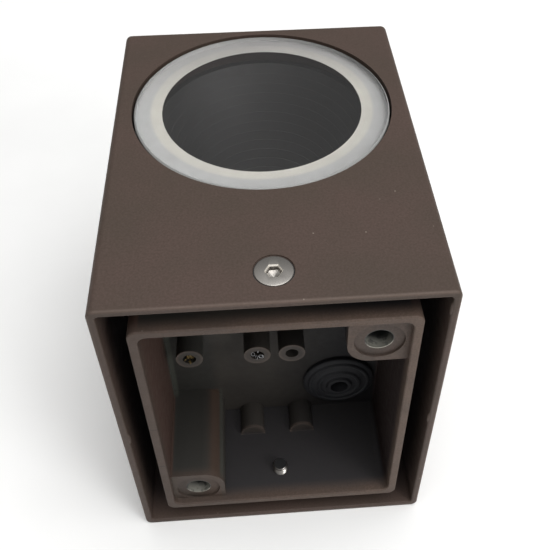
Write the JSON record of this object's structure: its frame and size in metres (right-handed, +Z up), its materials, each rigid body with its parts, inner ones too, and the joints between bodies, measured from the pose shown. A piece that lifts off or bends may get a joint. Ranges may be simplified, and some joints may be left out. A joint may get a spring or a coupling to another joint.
{
  "type": "wall light",
  "caption": "Square die-cast up and down wall light with a round glass above and below, over a wiring base that screws to the wall.",
  "frame": {"origin": "in the wall plane, midway between the two wall fixing holes", "axes": "+X to the right as seen from the wall, +Y from the wall into the light, +Z up"},
  "size_m": [0.11, 0.15, 0.134],
  "materials": {
    "powder_coat": "fine-textured brown polyester powder coat",
    "powder_coat_inner": "thinner brown powder coat inside the casting",
    "glass": "clear toughened glass with a pale printed border",
    "silicone": "matt grey silicone",
    "black_baffle": "matt black moulded plastic",
    "bare_aluminium": "bare pressed aluminium",
    "circuit_board": "white solder mask on an aluminium core",
    "phosphor": "yellow phosphor gel",
    "rubber_seal": "matt black EPDM",
    "white_plastic": "moulded polyamide",
    "brass": "turned brass",
    "black_plastic": "moulded black polyamide",
    "stainless_steel": "turned stainless steel",
    "zinc_plated_steel": "zinc-plated steel"
  },
  "bodies": {
    "luminaire": {"base_gasket": "rubber_seal", "cable_clamp": "black_plastic", "cable_clamp_screws": "zinc_plated_steel", "cable_grommet": "rubber_seal", "driver": "white_plastic", "driver_pad": "silicone", "earth_screw": "zinc_plated_steel", "earth_washer": "brass", "heat_sink": "bare_aluminium", "heat_sink_screws": "zinc_plated_steel", "housing": "powder_coat", "lower_baffle": "black_baffle", "lower_baffle_screws": "zinc_plated_steel", "lower_glass": "glass", "lower_glass_seal": "silicone", "lower_led_board": "circuit_board", "lower_led_chip": "phosphor", "lower_led_screws": "zinc_plated_steel", "sealing_frame": "bare_aluminium", "sealing_frame_gasket": "rubber_seal", "sealing_frame_screws": "zinc_plated_steel", "terminal_block": "white_plastic", "terminal_block_screws": "zinc_plated_steel", "terminal_clamp_screws": "zinc_plated_steel", "terminal_clamps": "brass", "upper_baffle": "black_baffle", "upper_baffle_screws": "zinc_plated_steel", "upper_glass": "glass", "upper_glass_seal": "silicone", "upper_led_board": "circuit_board", "upper_led_chip": "phosphor", "upper_led_screws": "zinc_plated_steel", "wall_base": "powder_coat_inner"},
    "upper_cup": {"upper_sealing_cup": "black_plastic"},
    "upper_screw": {"upper_cover_screw": "stainless_steel"},
    "lower_cup": {"lower_sealing_cup": "black_plastic"},
    "lower_screw": {"lower_cover_screw": "stainless_steel"}
  },
  "joints": [
    {"name": "upper_screw_travel", "type": "slide", "parent": "luminaire", "child": "upper_cup", "axis": [0, 0, 1], "range_m": [0, 0.008]},
    {"name": "upper_screw_turn", "type": "hinge", "parent": "upper_cup", "child": "upper_screw", "pos_m": [0, 0.0125, 0.0685], "axis": [0, 0, 1], "range_deg": [0, 2880]},
    {"name": "lower_screw_travel", "type": "slide", "parent": "luminaire", "child": "lower_cup", "axis": [0, 0, -1], "range_m": [0, 0.008]},
    {"name": "lower_screw_turn", "type": "hinge", "parent": "lower_cup", "child": "lower_screw", "pos_m": [0, 0.0125, -0.0655], "axis": [0, 0, -1], "range_deg": [0, 2880]}
  ],
  "couplings": [
    {"joint": "upper_screw_turn", "follows": "upper_screw_travel", "rad_per_m": 6283.2},
    {"joint": "lower_screw_turn", "follows": "lower_screw_travel", "rad_per_m": 6283.2}
  ]
}
